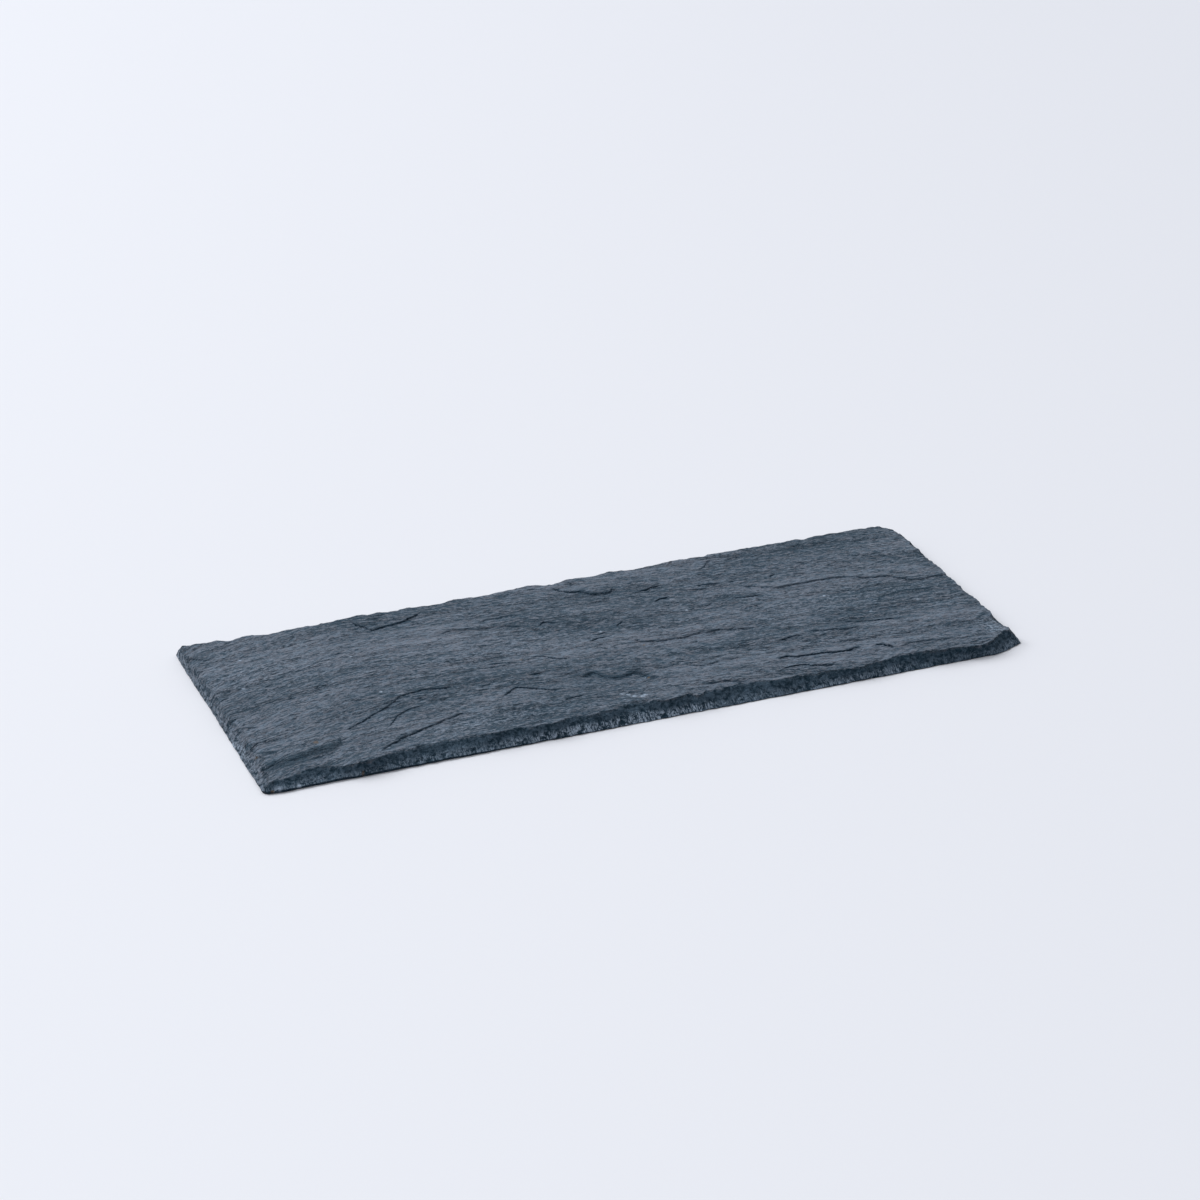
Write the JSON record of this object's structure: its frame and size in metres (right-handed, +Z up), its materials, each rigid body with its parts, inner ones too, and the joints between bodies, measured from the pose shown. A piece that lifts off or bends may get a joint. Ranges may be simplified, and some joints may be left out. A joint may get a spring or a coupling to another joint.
{
  "type": "slate slab",
  "caption": "Thin rectangular slab of riven slate with chipped, bevelled edges, a ledged top face and a flat underside to rest on.",
  "frame": {"origin": "middle of the flat underside", "axes": "+X along the length, +Y across the width to the back, +Z up through the thickness"},
  "size_m": [0.3, 0.115, 0.0057],
  "materials": {
    "slate": "matt riven natural cleft face, chipped edges"
  },
  "bodies": {
    "root": {"slate_slab": "slate"}
  },
  "joints": []
}
